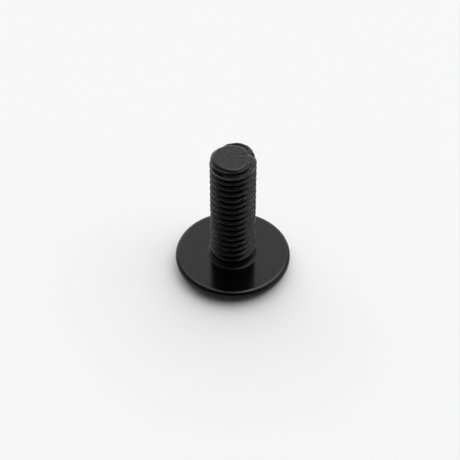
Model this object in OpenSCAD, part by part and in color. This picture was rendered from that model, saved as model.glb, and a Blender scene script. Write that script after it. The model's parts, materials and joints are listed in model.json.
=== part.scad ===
// Low flat-head machine bolt, standing on its head.
// The frame's origin is the centre of the head's flat crown, with +Z towards the tip.
// Sizes are in millimetres.

/* [Head] */
// Diameter of the wide, flat head
head_d = 15.3; // [13:0.1:18]
// Height of the head, from its crown to its bearing face
head_h = 2.1; // [2:0.05:3]
// Radius that turns the side of the head into the flat crown
crown_r = 1.3; // [0.6:0.05:1.45]
// Radius that breaks the edge of the bearing face
edge_r = 0.45; // [0.1:0.05:0.6]

/* [Shank] */
// Diameter of the smooth neck, and over the crests of the thread
shank_d = 5.9; // [5.7:0.01:6]
// Length under the head, from the bearing face to the tip
shank_l = 17.1; // [8:0.1:40]
// Height of the smooth neck under the place where the thread's groove starts
neck_h = 0.45; // [0.3:0.05:3]
// Radius of the fillet between the neck and the bearing face
fillet_r = 0.2; // [0.1:0.05:0.3]

/* [Thread] */
// Distance from one crest to the next
pitch = 1; // [0.8:0.05:1.25]
// Height of the crest at -Y above the bearing face, carried down past the first turn
crest_h = 0.13; // [0:0.01:1]
// Width of the crest's flat land
crest_w = 0.125; // [0.08:0.005:0.2]
// Depth of the groove, from crest to root
thread_d = 0.61; // [0.3:0.01:0.65]
// Angle between the two flanks of the groove
flank_angle = 60; // [50:1:62]
// Turns over which the groove deepens from nothing to its full depth
run_in = 1; // [0.25:0.05:1.5]

/* [Tip] */
// Diameter of the flat end face
tip_d = 4.4; // [4:0.05:5]
// Length of the lead-in cone at the end of the thread
lead_l = 0.9; // [0.3:0.05:1.2]

/* [Socket] */
// Width of the hexagon socket across its flats
socket_w = 4; // [2.5:0.5:4]
// Depth of the flats, from the crown
socket_h = 2.3; // [1.5:0.05:2.6]
// Width of the mouth's chamfer outside the corners of the hexagon
mouth_w = 0.15; // [0.05:0.05:0.4]
// Width of the flat step between the flats and the conical floor
step_w = 0.15; // [0.05:0.05:0.5]
// Angle of the conical floor, from side to side
floor_angle = 120; // [90:5:150]

/* [Hidden] */

head_r = head_d / 2;
side_h = head_h - crown_r - edge_r;
shank_r = shank_d / 2;
tip_r = tip_d / 2;
tip_z = head_h + shank_l;
lead_z = tip_z - lead_l;
corner_r = socket_w / 2 / cos(30);
mouth_r = corner_r + mouth_w;
floor_r = socket_w / 2 - step_w;
floor_h = floor_r / tan(floor_angle / 2);
// How far a cut starts outside the face that it opens
past = 0.5;

flank_slope = tan(flank_angle / 2);
root_r = shank_r - thread_d;
root_w = pitch - crest_w - 2 * thread_d * flank_slope;
// The groove's cutter reaches this far out, where its turns still lie clear of each other
cutter_r = shank_r + 0.04;
// Height of the middle of the groove at -Y, in the turn that all turns are counted from
groove_z = head_h + crest_h + pitch / 2;
first_turn = (neck_h + root_w / 2 + head_h - groove_z) / pitch;
last_turn = (tip_z - groove_z) / pitch + 0.6;
// Stations of the cutter in one turn
turn_steps = 24;

$fn = 96;

// Quarter of a disc about the origin, on the side of +X, above or below it
module quarter(r, above) {
    intersection() {
        circle(r);
        translate([0, above ? 0 : -2 * r]) square(2 * r);
    }
}

// Half section of the head: flat crown, large round, short side and broken edge
module head_section() {
    square([head_r - crown_r, crown_r]);
    translate([head_r - crown_r, crown_r]) quarter(crown_r, above = false);
    translate([0, crown_r]) square([head_r, side_h]);
    translate([0, head_h - edge_r]) square([head_r - edge_r, edge_r]);
    translate([head_r - edge_r, head_h - edge_r]) quarter(edge_r, above = true);
}

// Half section of the fillet that joins the neck to the bearing face
module fillet_section() {
    translate([shank_r, head_h]) difference() {
        square(fillet_r);
        translate([fillet_r, fillet_r]) circle(fillet_r);
    }
}

// Half section of the shank before its thread is cut: plain length and lead-in cone
module shank_section() {
    polygon([[0, head_h], [shank_r, head_h], [shank_r, lead_z], [tip_r, tip_z], [0, tip_z]]);
}

// Section of the groove's cutter as [radius, height] corners, with its root lifted out of the shank
function groove_section(lift) =
    let (root = root_r + lift, mouth_w = root_w + 2 * (cutter_r - root) * flank_slope)
    [[cutter_r, -mouth_w / 2], [root, -root_w / 2], [root, root_w / 2], [cutter_r, mouth_w / 2]];

// The same section a number of turns up the helix. The thread is right-handed
function groove_station(turn) =
    let (lift = (cutter_r - root_r - 0.01) * max(0, 1 - (turn - first_turn) / run_in))
    [
        for (p = groove_section(lift))
        [p.x * sin(360 * turn), -p.x * cos(360 * turn), groove_z + turn * pitch + p.y]
    ];

// Cutter of the thread's one groove, which deepens out of the neck and runs out through the tip
module groove() {
    count = ceil((last_turn - first_turn) * turn_steps);
    stations = [for (i = [0 : count]) groove_station(first_turn + i / turn_steps)];
    polyhedron(
        points = [for (station = stations) each station],
        faces = [
            [0, 1, 2, 3],
            for (i = [0 : count - 1], c = [0 : 3])
            let (a = 4 * i + c, b = 4 * i + (c + 1) % 4)
            each [[b, a, a + 4], [b, a + 4, b + 4]],
            [for (c = [3 : -1 : 0]) 4 * count + c],
        ]
    );
}

// What the key needs: a hexagon with a chamfered mouth and a conical floor
module socket() {
    translate([0, 0, -past]) {
        cylinder(r = corner_r, h = past + socket_h, $fn = 6);
        cylinder(r1 = mouth_r + past, r2 = floor_r, h = past + mouth_r - floor_r);
    }
    translate([0, 0, socket_h]) cylinder(r1 = floor_r, r2 = 0, h = floor_h);
}

module bolt() {
    color([0.04, 0.04, 0.045]) difference() {
        rotate_extrude() {
            head_section();
            fillet_section();
            shank_section();
        }
        groove();
        socket();
    }
}

bolt();
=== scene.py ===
"""The looks of a short black flat-head bolt: its rolled thread, its worn tip, its finish and its light.

The bolt is modelled in millimetres, as one piece, and set to metres when its shape is done.
Azimuths go round the bolt's axis from the camera's side, and a quarter turn on is the right-hand side.
"""

import json
import math

import bmesh
import bpy
from mathutils import Matrix, Vector, noise


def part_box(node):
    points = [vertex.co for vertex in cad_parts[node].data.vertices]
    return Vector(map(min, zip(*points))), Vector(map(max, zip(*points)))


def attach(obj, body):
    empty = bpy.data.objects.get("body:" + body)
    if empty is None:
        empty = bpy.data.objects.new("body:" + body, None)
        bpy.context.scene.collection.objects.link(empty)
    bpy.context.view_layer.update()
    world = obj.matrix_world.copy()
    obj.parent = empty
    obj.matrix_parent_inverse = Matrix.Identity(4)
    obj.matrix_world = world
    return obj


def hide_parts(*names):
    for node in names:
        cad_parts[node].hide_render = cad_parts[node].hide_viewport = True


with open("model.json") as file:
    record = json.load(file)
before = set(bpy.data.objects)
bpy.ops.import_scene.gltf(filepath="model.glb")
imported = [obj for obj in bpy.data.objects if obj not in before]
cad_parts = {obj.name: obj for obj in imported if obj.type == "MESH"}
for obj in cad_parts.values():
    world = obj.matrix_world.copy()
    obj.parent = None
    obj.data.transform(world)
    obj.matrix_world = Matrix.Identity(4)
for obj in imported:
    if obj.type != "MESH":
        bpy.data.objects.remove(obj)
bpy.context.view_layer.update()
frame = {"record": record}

MM = 0.001
HALF_TURN = math.pi
FULL_TURN = 2 * math.pi

# Sizes that the solid gives, in millimetres
_, solid_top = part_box("bolt")
mounts = {mount["name"]: mount for mount in frame["record"]["mounts"]}
HEAD_R = solid_top.x / MM
TIP_Z = solid_top.z / MM
FACE_Z = mounts["bearing_face"]["pos_m"][2] / MM

# Head. A strip of FLAT_MARGIN inside each rounded edge keeps the shading of the flat faces flat
SIDES = 160
CROWN_ROUND = 1.45
CROWN_STEPS = 16
EDGE_ROUND = 0.58
EDGE_STEPS = 9
FLAT_MARGIN = 0.03

# Neck, from its foot on the bearing face to the thread
FOOT_W = 0.12
FOOT_H = 0.09
FOOT_STEPS = 4
FLARE_R = 3.22
FLARE_H = 0.5
FLARE_EASE = 0.08
NECK_R = 2.85
NECK_H = 0.95
NECK_JOIN_Z = FACE_Z + 0.3
JOIN_GAP = 0.05

# Socket in the crown
SOCKET_W = 4.0
SOCKET_H = 2.3
MOUTH_W = 0.15
MOUTH_SIDES = 64
STEP_W = 0.15
FLOOR_ANGLE = math.radians(120)
CUT_PAST = 0.5

# Thread. Its first crest lies FIRST_CREST above the bearing face at azimuth 0
CREST_R = 2.97
PITCH = 1.0
FIRST_CREST = 0.13
FLANK_SLOPE = math.tan(math.radians(60))
CREST_FLAT = PITCH / 8
CREST_EASE = 0.042
ROOT_ROUND = 0.144
TURNS_BELOW = 3
TURNS = 22
RUN_IN_EASE = 0.3
WEAR_FADE = 1.0

# End face, which the rolling left a little off the axis, and how finely it is divided
END_R = 2.17
END_SHIFT = -0.27
FRONT_BULGE = 0.34
END_DEPTH = 0.8
END_RINGS = 22
RING_CROWDING = 1.5
CENTRE_R = 0.35
FINE_DEPTH = 0.75
FINE_CUTS = 2

# Lead-in below the end face: its least widening in each millimetre down, and where it widens
# faster, as the amount more, the azimuth and half the width. The last two are in degrees
LEAD_SLOPE = 1.15
LEAD_SWELLS = [
    (1.3, 10, 90),
    (3.0, -44, 46),
    (0.45, 90, 60),
    (3.5, 158, 52),
]
LEAD_EASE = 0.05

# The last turn, which is broad at the front, with a low collar above it
LAST_CREST = 16
CREST_FILL = 0.36
COLLAR_FILL = 0.17
COLLAR_R = 2.70
COLLAR_H = 0.42
COLLAR_SLOPE = 4
COLLAR_SWELL = 0.6

# Where it is torn up at the back right, level with a ledge, and the groove inside the ledge
TORN_LIFT = 0.45
TORN_SAG = 0.2
LEDGE_Z = TIP_Z - 0.16
LEDGE_EASE = 0.04
MOAT_DEPTH = 0.1
MOAT_W = 0.09
MOAT_R = 2.59
MOAT_INSET = 0.06

# The shallow trench at the front left, between the end face and the ridge of the last turn
TRENCH_IN = 0.27
TRENCH_W = 0.24
TRENCH_DEPTH = 0.14

# The thin lip that stands up round the end face
LIP_INSET = 0.1
LIP_W = 0.28
LIP_H = 0.03

# Where the forms of the end lie: the azimuth of the middle and half the width, in degrees
BULGE_AT = 22, 66
LAST_GROOVE_AT = 0, 120
COLLAR_AT = 5, 110
TORN_AT = 151, 44
SAG_AT = 105, 22
TRENCH_AT = -46, 50
LIP_AT = 10, 100
HIGH_LIP_AT = 38, 40

# Dents and raised marks on the end face: x, y, half length, half width, turn in degrees, height
END_MARKS = [
    (0.98, 1.62, 0.14, 0.20, 60, 0.05),
    (1.36, 1.26, 0.26, 0.22, 0, 0.05),
    (1.36, 1.26, 0.11, 0.11, 0, -0.10),
    (1.26, 0.90, 0.42, 0.14, 28, 0.05),
    (1.17, 0.51, 0.42, 0.13, 10, -0.045),
    (1.26, 0.11, 0.42, 0.18, 0, 0.03),
    (1.30, -0.20, 0.45, 0.13, 0, -0.03),
    (0.92, -0.74, 0.11, 0.11, 0, 0.04),
    (1.30, -0.92, 0.12, 0.13, 0, -0.09),
    (1.27, -1.29, 0.12, 0.13, 0, -0.09),
    (1.52, -1.10, 0.34, 0.08, 90, 0.05),
    (1.67, -1.20, 0.30, 0.08, 90, -0.10),
    (2.16, -0.92, 0.75, 0.13, 48, 0.08),
    (2.30, -1.17, 0.60, 0.12, 48, -0.06),
    (0.37, -2.40, 0.14, 0.26, 0, 0.07),
]


def smooth(low, high, value):
    """0 below low, 1 above high and an even S between them."""
    share = min(1.0, max(0.0, (value - low) / (high - low)))
    return share * share * (3 - 2 * share)


def lesser(a, b, ease):
    """The lesser of two lengths, with the corner between them rounded over ease."""
    share = max(0.0, ease - abs(a - b)) / ease
    return min(a, b) - share * share * ease / 4


def hump(distance, half_width):
    """1 at no distance, falling softly to 0 at half a width."""
    share = distance / half_width
    return max(0.0, 1 - share * share) ** 2


def near(azimuth, middle, half_width):
    """1 at one azimuth and 0 half a width away on each side. The last two are in degrees."""
    apart = abs((azimuth - math.radians(middle) + HALF_TURN) % FULL_TURN - HALF_TURN)
    return hump(apart, math.radians(half_width))


def alone(piece):
    """Makes the piece the only one selected, and active."""
    bpy.ops.object.select_all(action="DESELECT")
    piece.select_set(True)
    bpy.context.view_layer.objects.active = piece


def pick(piece, kind, test):
    """In edit mode, selects the corners, edges or faces whose corners all pass the test."""
    bpy.ops.mesh.select_all(action="DESELECT")
    bpy.ops.mesh.select_mode(type={"verts": "VERT", "edges": "EDGE", "faces": "FACE"}[kind])
    mesh = bmesh.from_edit_mesh(piece.data)
    for part in getattr(mesh, kind):
        corners = [part] if kind == "verts" else part.verts
        part.select_set(all(test(corner.co) for corner in corners))
    bmesh.update_edit_mesh(piece.data)


def place_in_mesh(piece):
    """Moves the object's place, turn and scale into its mesh."""
    alone(piece)
    bpy.ops.object.transform_apply(location=True, rotation=True, scale=True)


def apply_modifiers(piece):
    """Makes what the piece's modifiers show its mesh."""
    alone(piece)
    for modifier in list(piece.modifiers):
        bpy.ops.object.modifier_apply(modifier=modifier.name)


def turn_to(radius, height, now, centre_x=0.0):
    """Draws the selected end face on to a new radius and height, as a lathe's next step. Returns them."""
    old_radius, old_height = now
    bpy.ops.mesh.extrude_region_move(TRANSFORM_OT_translate={"value": (0, 0, height - old_height)})
    share = radius / old_radius
    bpy.ops.transform.resize(value=(share, share, 1), center_override=(centre_x, 0, height))
    return radius, height


def turned_head():
    """The head and the foot of the neck, closed below and open at the neck's top."""
    bpy.ops.mesh.primitive_cylinder_add(
        vertices=SIDES, radius=HEAD_R, depth=FACE_Z, location=(0, 0, FACE_Z / 2), end_fill_type="NGON"
    )
    head = bpy.context.object
    place_in_mesh(head)
    bpy.ops.object.mode_set(mode="EDIT")
    pick(head, "edges", lambda co: co.z < 0.001)
    bpy.ops.mesh.bevel(offset=CROWN_ROUND, segments=CROWN_STEPS, affect="EDGES")
    pick(head, "edges", lambda co: co.z > FACE_Z - 0.001)
    bpy.ops.mesh.bevel(offset=EDGE_ROUND, segments=EDGE_STEPS, affect="EDGES")
    pick(head, "faces", lambda co: co.z < 0.001)
    turn_to(HEAD_R - CROWN_ROUND - FLAT_MARGIN, 0, (HEAD_R - CROWN_ROUND, 0))
    pick(head, "faces", lambda co: co.z > FACE_Z - 0.001)
    now = turn_to(HEAD_R - EDGE_ROUND - FLAT_MARGIN, FACE_Z, (HEAD_R - EDGE_ROUND, FACE_Z))
    now = turn_to(FLARE_R + FOOT_W + FLAT_MARGIN, FACE_Z, now)
    now = turn_to(FLARE_R + FOOT_W, FACE_Z, now)
    for step in range(1, FOOT_STEPS + 1):
        height = FACE_Z + FOOT_H * step / FOOT_STEPS
        now = turn_to(neck_reach(height), height, now)
    turn_to(neck_reach(NECK_JOIN_Z), NECK_JOIN_Z, now)
    bpy.ops.mesh.delete(type="ONLY_FACE")
    bpy.ops.object.mode_set(mode="OBJECT")
    return head


def neck_reach(height):
    """Radius of the neck, which flares out to its foot and swells to the crests of the thread."""
    above = height - FACE_Z
    flare = FLARE_R - (FLARE_R - NECK_R) * above / FLARE_H
    neck = NECK_R + (CREST_R - NECK_R) * smooth(FLARE_H, NECK_H, above)
    foot = FOOT_W * max(0.0, 1 - above / FOOT_H)
    return foot - lesser(-flare, -neck, FLARE_EASE)


def cut_socket(bolt):
    """Cuts the hexagon, its chamfered mouth and its conical floor into the crown."""
    corner = SOCKET_W / 2 / math.cos(math.radians(30))
    floor_r = SOCKET_W / 2 - STEP_W
    mouth = corner + MOUTH_W
    cone_z = SOCKET_H - MOUTH_W
    cuts = [
        (6, corner, corner, -CUT_PAST, SOCKET_H),
        (MOUTH_SIDES, mouth + CUT_PAST, floor_r, -CUT_PAST, mouth - floor_r),
        (MOUTH_SIDES, floor_r, 0, cone_z, cone_z + floor_r / math.tan(FLOOR_ANGLE / 2)),
    ]
    for sides, low_r, high_r, low_z, high_z in cuts:
        bpy.ops.mesh.primitive_cone_add(
            vertices=sides,
            radius1=low_r,
            radius2=high_r,
            depth=high_z - low_z,
            location=(0, 0, (low_z + high_z) / 2),
        )
        cutter = bpy.context.object
        place_in_mesh(cutter)
        cut = bolt.modifiers.new("socket", "BOOLEAN")
        cut.operation = "DIFFERENCE"
        cut.object = cutter
        apply_modifiers(bolt)
        bpy.data.objects.remove(cutter)


def thread_section():
    """One pitch of the thread, as (depth below the crest, height above the crest's middle)."""
    root_depth = (PITCH / 2 - CREST_FLAT / 2) * FLANK_SLOPE - ROOT_ROUND
    below_crest = [(0, 0)]
    for share in (0.2, 0.4, 0.6, 0.8, 1.0):
        height = CREST_FLAT / 2 - CREST_EASE * (1 - 2 * share)
        below_crest.append((CREST_EASE * FLANK_SLOPE * share * share, height))
    for share in (0.45, 0.75):
        height = CREST_FLAT / 2 + share * (PITCH / 2 - CREST_FLAT / 2 - ROOT_ROUND)
        below_crest.append(((height - CREST_FLAT / 2) * FLANK_SLOPE, height))
    for degrees in (60, 30):
        angle = math.radians(degrees)
        height = PITCH / 2 - ROOT_ROUND * math.sin(angle)
        below_crest.append((root_depth - ROOT_ROUND * (1 - math.cos(angle)), height))
    above_root = [(depth, PITCH - height) for depth, height in reversed(below_crest)]
    return below_crest + [(root_depth, PITCH / 2)] + above_root


def rolled_thread():
    """A long thread of even depth, wound up from its section. Its ends are worked later."""
    section = thread_section()
    start = FACE_Z + FIRST_CREST - TURNS_BELOW * PITCH
    bpy.ops.mesh.primitive_plane_add(size=0.1, location=(0, -CREST_R, start))
    thread = bpy.context.object
    place_in_mesh(thread)
    bpy.ops.object.mode_set(mode="EDIT")
    bpy.ops.mesh.select_mode(type="VERT")
    bpy.ops.mesh.select_all(action="SELECT")
    bpy.ops.mesh.merge(type="CENTER")
    for (depth, height), (next_depth, next_height) in zip(section, section[1:]):
        step = (0, next_depth - depth, next_height - height)
        bpy.ops.mesh.extrude_vertices_move(TRANSFORM_OT_translate={"value": step})
    bpy.ops.object.mode_set(mode="OBJECT")
    wind = thread.modifiers.new("wind", "SCREW")
    wind.axis = "Z"
    wind.angle = FULL_TURN
    wind.screw_offset = PITCH
    wind.iterations = TURNS
    wind.steps = SIDES
    wind.render_steps = SIDES
    apply_modifiers(thread)
    bpy.ops.object.mode_set(mode="EDIT")
    bpy.ops.mesh.select_all(action="SELECT")
    bpy.ops.mesh.remove_doubles(threshold=0.001)
    bpy.ops.mesh.normals_make_consistent(inside=False)
    bpy.ops.object.mode_set(mode="OBJECT")
    return thread


def trim(piece, height, clear_above, fill):
    """Cuts the piece level at a height, and clears what is above or below it."""
    alone(piece)
    bpy.ops.object.mode_set(mode="EDIT")
    bpy.ops.mesh.select_all(action="SELECT")
    bpy.ops.mesh.bisect(
        plane_co=(0, 0, height),
        plane_no=(0, 0, 1),
        use_fill=fill,
        clear_outer=clear_above,
        clear_inner=not clear_above,
        threshold=0.0001,
    )
    bpy.ops.object.mode_set(mode="OBJECT")


def refine_tip(thread):
    """Divides the faces near the end, to carry its wear."""
    alone(thread)
    bpy.ops.object.mode_set(mode="EDIT")
    pick(thread, "faces", lambda co: co.z > TIP_Z - FINE_DEPTH)
    bpy.ops.mesh.subdivide(number_cuts=FINE_CUTS)
    bpy.ops.object.mode_set(mode="OBJECT")


def run_in(share, turn):
    """How much of the groove's depth is cut: it starts under the first crest and opens over one turn."""
    opens_at = 1.0 - smooth(-0.55, 0.05, turn) * 0.26 - smooth(0.05, 0.95, turn) * 0.86
    return smooth(opens_at, opens_at + RUN_IN_EASE, share)


def rim_reach(azimuth):
    """Distance from the axis to the rim of the off-centre end face, which bulges to the front right."""
    across = END_SHIFT * math.cos(azimuth)
    round_rim = END_SHIFT * math.sin(azimuth) + math.sqrt(END_R * END_R - across * across)
    return round_rim + FRONT_BULGE * near(azimuth, *BULGE_AT)


def lead_slope(azimuth):
    """How far the lead-in widens in each millimetre below the end face."""
    swells = (amount * near(azimuth, middle, half_width) for amount, middle, half_width in LEAD_SWELLS)
    return sum(swells, LEAD_SLOPE)


def last_groove_fill(azimuth, climb):
    """How much shallower the last groove is at the front, where the turns beside it stayed broad."""
    above_crest = climb + azimuth / FULL_TURN - LAST_CREST
    crest_side = smooth(-0.42, -0.22, above_crest) * (1 - smooth(0.42, 0.56, above_crest))
    collar_side = smooth(0.56, 0.7, above_crest)
    return near(azimuth, *LAST_GROOVE_AT) * (CREST_FILL * crest_side + COLLAR_FILL * collar_side)


def collar_reach(azimuth, z):
    """Radius of the low collar that the last turn leaves under the end face at the front."""
    below = max(0.0, TIP_Z - COLLAR_H - z)
    return COLLAR_R + COLLAR_SLOPE * below + COLLAR_SWELL * (1 - near(azimuth, *COLLAR_AT))


def crest_wear(place, depth):
    """How far a crest is worn down at a place: a little all over, and more in a few nicks."""
    on_crest = 1 - smooth(0.02, 0.2, depth)
    nicked = smooth(0.25, 0.5, noise.noise(place * 2.6))
    return on_crest * (0.01 + 0.012 * noise.noise(place * 0.9) + 0.06 * nicked)


def torn_lift(azimuth, climb, place):
    """How far the last turn is torn up at a place."""
    past_back = azimuth + FULL_TURN if azimuth < -HALF_TURN / 2 else azimuth
    from_crest = climb + (azimuth - past_back) / FULL_TURN - LAST_CREST
    fade = 0.5 if from_crest > 0 else 0.35
    uneven = 1 + 0.25 * noise.noise(place * 3.1)
    lift = TORN_LIFT * near(azimuth, *TORN_AT) * uneven - TORN_SAG * near(azimuth, *SAG_AT)
    return lift * max(0.0, 1 - abs(from_crest) / fade)


def work_thread(thread):
    """Starts the groove in the neck, gives the thread's end the lead-in and tears up its last turn."""
    for corner in thread.data.vertices:
        x, y, z = corner.co
        azimuth = math.atan2(x, -y)
        climb = (z - FACE_Z - FIRST_CREST) / PITCH - azimuth / FULL_TURN
        groove = math.floor(climb)
        below_crest = CREST_R - math.hypot(x, y)
        depth = below_crest * run_in(climb - groove, groove + azimuth / FULL_TURN)
        depth = max(0.0, depth - last_groove_fill(azimuth, climb))
        reach = neck_reach(z) - depth
        reach -= crest_wear(corner.co, depth) * smooth(FACE_Z + NECK_H, FACE_Z + NECK_H + WEAR_FADE, z)
        lead_in = rim_reach(azimuth) + lead_slope(azimuth) * (TIP_Z - z)
        lead_in = lesser(lead_in, collar_reach(azimuth, z), LEAD_EASE)
        reach = lesser(reach, lead_in, LEAD_EASE)
        z += torn_lift(azimuth, climb, corner.co)
        corner.co = (reach * math.sin(azimuth), -reach * math.cos(azimuth), z)


def ring_end_face(thread):
    """Divides the end face into rings, close enough together to carry its marks."""
    alone(thread)
    bpy.ops.object.mode_set(mode="EDIT")
    pick(thread, "verts", lambda co: co.z > TIP_Z - 0.001)
    bpy.ops.mesh.remove_doubles(threshold=0.006)
    pick(thread, "faces", lambda co: co.z > TIP_Z - 0.001)
    now = END_R, TIP_Z
    for ring in range(1, END_RINGS + 1):
        share = (ring / END_RINGS) ** RING_CROWDING
        now = turn_to(END_R + (CENTRE_R - END_R) * share, TIP_Z, now, END_SHIFT)
    bpy.ops.mesh.poke()
    bpy.ops.object.mode_set(mode="OBJECT")


def ledge_share(azimuth, reach):
    """1 on the torn turn's level ledge and 0 away from it."""
    degrees = math.degrees(azimuth % FULL_TURN)
    return smooth(2.3, 2.45, reach) * smooth(98, 118, degrees) * (1 - smooth(196, 216, degrees))


def moat(azimuth, reach):
    """Depth of the groove between the end face and the torn turn. It follows the rim on the right."""
    degrees = math.degrees(azimuth % FULL_TURN)
    middle = max(rim_reach(azimuth) - MOAT_INSET, MOAT_R - 0.68 * max(0.0, (172 - degrees) / 68) ** 2)
    along = smooth(44, 66, degrees) * (1 - smooth(190, 210, degrees))
    along = along * (0.6 + 0.4 * smooth(90, 115, degrees))
    return MOAT_DEPTH * along * math.exp(-((reach - middle) / MOAT_W) ** 2)


def trench(azimuth, outside):
    """Depth of the front left trench at a distance outside the rim."""
    return TRENCH_DEPTH * near(azimuth, *TRENCH_AT) * hump(outside - TRENCH_IN, TRENCH_W)


def lip(azimuth, inside):
    """Height of the lip at a distance inside the rim. It is highest at the front right."""
    along = 0.15 + 0.85 * near(azimuth, *LIP_AT) + near(azimuth, *HIGH_LIP_AT)
    return LIP_H * along * hump(inside - LIP_INSET, LIP_W)


def end_marks(x, y):
    """Height of the dents and raised marks at a place on the end."""
    height = 0
    for mark_x, mark_y, half_length, half_width, degrees, mark_height in END_MARKS:
        along = Vector((math.cos(math.radians(degrees)), math.sin(math.radians(degrees))))
        away = Vector((x - mark_x, y - mark_y))
        distance = math.hypot(away.dot(along) / half_length, away.cross(along) / half_width)
        height += mark_height * hump(distance, 1)
    return height


def work_end(thread):
    """Rounds the rim of the end face, and gives the end its grooves, lip, marks and faint unevenness."""
    for corner in thread.data.vertices:
        x, y, z = corner.co
        if z < TIP_Z - END_DEPTH:
            continue
        azimuth = math.atan2(x, -y)
        reach = math.hypot(x, y)
        lead_in = z
        if z > TIP_Z - 0.001:
            lead_in = TIP_Z + (rim_reach(azimuth) - reach) / lead_slope(azimuth)
        height = lesser(TIP_Z, lead_in, LEAD_EASE)
        height += lip(azimuth, rim_reach(azimuth) - reach)
        on_ledge = ledge_share(azimuth, reach)
        height += on_ledge * (lesser(height, LEDGE_Z, LEDGE_EASE) - height)
        height -= moat(azimuth, reach) + trench(azimuth, reach - rim_reach(azimuth))
        share = smooth(TIP_Z - END_DEPTH, TIP_Z - END_DEPTH / 2, z)
        uneven = 0.006 * noise.noise(corner.co * 2.2)
        uneven += (0.003 + 0.012 * on_ledge) * noise.noise(corner.co * 6.5)
        corner.co.z = height + share * (end_marks(x, y) + uneven)


def joined(head, thread):
    """One closed mesh of the head and the thread, bridged in the neck."""
    alone(head)
    thread.select_set(True)
    bpy.ops.object.join()
    bpy.ops.object.mode_set(mode="EDIT")
    bpy.ops.mesh.select_mode(type="EDGE")
    bpy.ops.mesh.select_all(action="DESELECT")
    bpy.ops.mesh.select_non_manifold()
    bpy.ops.mesh.bridge_edge_loops()
    bpy.ops.mesh.select_all(action="SELECT")
    bpy.ops.mesh.normals_make_consistent(inside=False)
    bpy.ops.object.mode_set(mode="OBJECT")
    return head


def build_bolt():
    """The whole bolt as one mesh in metres, with its faces shaded smooth and its edges sharp."""
    head = turned_head()
    thread = rolled_thread()
    trim(thread, TIP_Z + 0.05, clear_above=True, fill=False)
    refine_tip(thread)
    work_thread(thread)
    trim(thread, NECK_JOIN_Z + JOIN_GAP, clear_above=False, fill=False)
    trim(thread, TIP_Z, clear_above=True, fill=True)
    ring_end_face(thread)
    work_end(thread)
    bolt = joined(head, thread)
    cut_socket(bolt)
    bolt.name = "black_bolt"
    bolt.scale = (MM, MM, MM)
    place_in_mesh(bolt)
    bpy.ops.object.shade_smooth_by_angle(angle=math.radians(35))
    return bolt


class Wire:
    """A socket that gives a value. Sums on wires are written as on numbers, and add Math nodes."""

    def __init__(self, tree, socket):
        self.tree = tree
        self.socket = socket

    def combine(self, operation, first, second):
        return add_node(self.tree, "ShaderNodeMath", {"operation": operation}, {0: first, 1: second})

    def __add__(self, other):
        return self.combine("ADD", self, other)

    def __radd__(self, other):
        return self.combine("ADD", other, self)

    def __sub__(self, other):
        return self.combine("SUBTRACT", self, other)

    def __rsub__(self, other):
        return self.combine("SUBTRACT", other, self)

    def __mul__(self, other):
        return self.combine("MULTIPLY", self, other)

    def __rmul__(self, other):
        return self.combine("MULTIPLY", other, self)


def add_node(tree, kind, settings=None, inputs=None, output=0):
    """Adds a node with its settings and then its inputs, and returns the wire from one output."""
    node = tree.nodes.new(kind)
    for name, value in (settings or {}).items():
        setattr(node, name, value)
    for name, value in (inputs or {}).items():
        socket = node.inputs[name]
        if isinstance(value, Wire):
            tree.links.new(value.socket, socket)
        else:
            socket.default_value = value
    return Wire(tree, node.outputs[output])


def rise(wire, low, high):
    """0 below low, 1 above high and an even S between them."""
    inputs = {"Value": wire, "From Min": low, "From Max": high}
    return add_node(wire.tree, "ShaderNodeMapRange", {"interpolation_type": "SMOOTHSTEP"}, inputs)


# The studio's light, as soft patches: azimuth, height, where the patch starts to fade,
# where it ends, all in degrees, and its level
BARE_ROOM = 0.045
WHITE_BELOW = 0.9
SOFT_LIGHTS = [
    (189, 27, 0, 60, 1.6),
    (101, 50, 0, 49, 1.45),
    (188, 10, 27, 167, 0.66),
]
FLOOR_WHITE = 0.845


def soft_light(ways, azimuth, height, inner, outer):
    """1 within inner degrees of a direction, 0 outside outer degrees."""
    around, up = math.radians(azimuth), math.radians(height)
    middle = (math.sin(around) * math.cos(up), -math.cos(around) * math.cos(up), math.sin(up))
    settings, inputs = {"operation": "DOT_PRODUCT"}, {0: ways, 1: middle}
    nearness = add_node(ways.tree, "ShaderNodeVectorMath", settings, inputs, "Value")
    return rise(nearness, math.cos(math.radians(outer)), math.cos(math.radians(inner)))


def surround():
    """A dim room with its soft lights. It is white below the floor, where only views from below reach."""
    world = bpy.data.worlds.new("studio")
    world.use_nodes = True
    tree = world.node_tree
    ways = add_node(tree, "ShaderNodeTexCoord", output="Generated")
    up = add_node(tree, "ShaderNodeSeparateXYZ", None, {0: ways}, "Z")
    level = BARE_ROOM + WHITE_BELOW * rise(0 - up, 0.1, 0.3)
    for azimuth, height, inner, outer, strength in SOFT_LIGHTS:
        level = level + strength * soft_light(ways, azimuth, height, inner, outer)
    colour = add_node(tree, "ShaderNodeCombineColor", None, {0: level, 1: level, 2: level})
    tree.links.new(colour.socket, tree.nodes["Background"].inputs["Color"])
    bpy.context.scene.world = world


def lay_floor():
    """The white floor of the studio, which keeps the bolt's shadow."""
    bpy.ops.object.select_all(action="DESELECT")
    bpy.ops.mesh.primitive_plane_add(size=4)
    floor = bpy.context.object
    floor.name = "floor"
    paint = bpy.data.materials.new("floor_white")
    paint.use_nodes = True
    shader = paint.node_tree.nodes["Principled BSDF"]
    shader.inputs["Base Color"].default_value = (FLOOR_WHITE, FLOOR_WHITE, FLOOR_WHITE, 1)
    shader.inputs["Roughness"].default_value = 1
    shader.inputs["Specular IOR Level"].default_value = 0
    floor.data.materials.append(paint)


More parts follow.
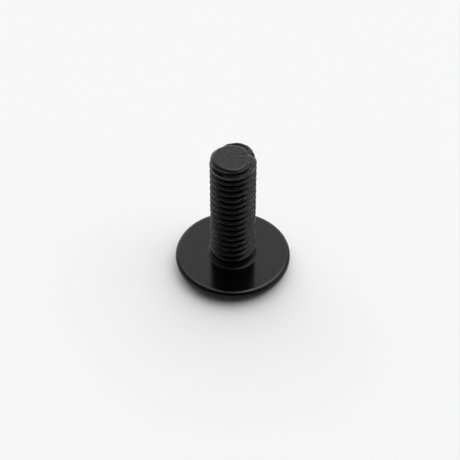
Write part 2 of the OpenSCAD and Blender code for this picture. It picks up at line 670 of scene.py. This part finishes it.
# The black coat: its two shades, and its patterns as noise scale and detail
DEEP_BLACK = (0.001, 0.001, 0.0012, 1)
SOFT_BLACK = (0.002, 0.002, 0.0024, 1)
CLOUDS = {"Scale": 400, "Detail": 5, "Roughness": 0.6}
SPECKS = {"Scale": 2600, "Detail": 2}
GRAIN = {"Scale": 6000, "Detail": 3}
GRAIN_HEIGHT = 0.03 * MM
GLOSS_IOR = 1.26
WEAR_AND_SHEEN_ROUGHNESS = 0.12


def black_steel():
    """Black coat, smooth on the head and grainier on the thread.

    Along the front of the head's edge, on the camera's side only, a shinier coat is partly wear and
    partly a painted highlight. It is rubbed shinier in specks on the thread and its crests.
    """
    finish = bpy.data.materials.new("black_steel")
    finish.use_nodes = True
    tree = finish.node_tree
    place = add_node(tree, "ShaderNodeTexCoord", output="Object")
    clouds = add_node(tree, "ShaderNodeTexNoise", None, {"Vector": place, **CLOUDS})
    specks = add_node(tree, "ShaderNodeTexNoise", None, {"Vector": place, **SPECKS})
    grain = add_node(tree, "ShaderNodeTexNoise", None, {"Vector": place, **GRAIN})

    high = add_node(tree, "ShaderNodeSeparateXYZ", None, {0: place}, "Z")
    behind = add_node(tree, "ShaderNodeSeparateXYZ", None, {0: place}, "Y")
    level = add_node(tree, "ShaderNodeVectorMath", {"operation": "MULTIPLY"}, {0: place, 1: (1, 1, 0)})
    away = add_node(tree, "ShaderNodeVectorMath", {"operation": "LENGTH"}, {0: level}, "Value")
    on_thread = rise(high, (FACE_Z + 0.4) * MM, (FACE_Z + 1.2) * MM)
    on_crest = on_thread * rise(away, (CREST_R - 0.16) * MM, (CREST_R - 0.02) * MM)
    # Painted highlight, partly wear: a shinier coat along the head's edge, kept to the front on the
    # camera's side so that the edge's front line shines brighter
    front_edge_wear_and_sheen = rise(high, (FACE_Z - 0.09) * MM, (FACE_Z - 0.02) * MM)
    front_edge_wear_and_sheen = front_edge_wear_and_sheen * rise(away, (HEAD_R - EDGE_ROUND) * MM, (HEAD_R - EDGE_ROUND * 0.8) * MM)
    front_edge_wear_and_sheen = front_edge_wear_and_sheen * rise(0 - behind, 1 * MM, 6.5 * MM)

    shades = {"Factor": rise(clouds, 0.35, 0.65), 6: DEEP_BLACK, 7: SOFT_BLACK}
    colour = add_node(tree, "ShaderNodeMix", {"data_type": "RGBA"}, shades, 2)
    roughness = 0.13 + 0.06 * clouds
    # Coat weight: rubbed wear in clouds, in specks and on the crests, plus the painted highlight on the
    # front of the head's edge
    coat_wear_and_sheen = 0.05 * clouds + 0.05 * specks + 1.8 * front_edge_wear_and_sheen * clouds
    coat_wear_and_sheen = coat_wear_and_sheen + (0.3 * on_crest + 0.1 * on_thread) * rise(specks, 0.4, 0.65)
    height = 0.05 * grain + on_thread * (0.9 * specks + 0.35 * grain)
    relief = {"Strength": 1, "Distance": GRAIN_HEIGHT, "Height": height}
    bump = add_node(tree, "ShaderNodeBump", None, relief)

    shader = tree.nodes["Principled BSDF"]
    tree.links.new(colour.socket, shader.inputs["Base Color"])
    tree.links.new(roughness.socket, shader.inputs["Roughness"])
    tree.links.new(coat_wear_and_sheen.socket, shader.inputs["Coat Weight"])
    tree.links.new(bump.socket, shader.inputs["Normal"])
    shader.inputs["Coat Roughness"].default_value = WEAR_AND_SHEEN_ROUGHNESS
    shader.inputs["IOR"].default_value = GLOSS_IOR
    return finish


# The camera, fitted to the photo. It aims so that the bearing face's centre falls on this pixel
PHOTO_SIZE = 460
FACE_CENTRE_PIXEL = (232.893, 251.23)
CAMERA_HEIGHT = math.radians(47.12)
CAMERA_DISTANCE = 174.8 * MM
CAMERA_FOCUS_PIXELS = 1309.1
CAMERA_ROLL = math.radians(0.135)


def camera():
    """Looks down on the bolt from the front, over its thread."""
    data = bpy.data.cameras.new("camera")
    data.sensor_width = 36
    data.lens = CAMERA_FOCUS_PIXELS * data.sensor_width / PHOTO_SIZE
    data.clip_start = 0.01
    data.clip_end = 10
    cam = bpy.data.objects.new("camera", data)
    bpy.context.scene.collection.objects.link(cam)
    back = Vector((0, -math.cos(CAMERA_HEIGHT), math.sin(CAMERA_HEIGHT)))
    right_by = math.atan((FACE_CENTRE_PIXEL[0] - PHOTO_SIZE / 2) / CAMERA_FOCUS_PIXELS)
    down_by = math.atan((FACE_CENTRE_PIXEL[1] - PHOTO_SIZE / 2) / CAMERA_FOCUS_PIXELS)
    turn = Matrix.Rotation(math.pi / 2 - CAMERA_HEIGHT, 4, "X")
    turn = turn @ Matrix.Rotation(down_by, 4, "X") @ Matrix.Rotation(right_by, 4, "Y")
    turn = turn @ Matrix.Rotation(CAMERA_ROLL, 4, "Z")
    place = Vector((0, 0, FACE_Z * MM)) + back * CAMERA_DISTANCE
    cam.matrix_world = Matrix.Translation(place) @ turn
    bpy.context.scene.camera = cam


bpy.context.scene.view_settings.view_transform = "Standard"
camera()
surround()
lay_floor()
bolt = build_bolt()
bolt.data.materials.clear()
bolt.data.materials.append(black_steel())
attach(bolt, "root")
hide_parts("bolt")
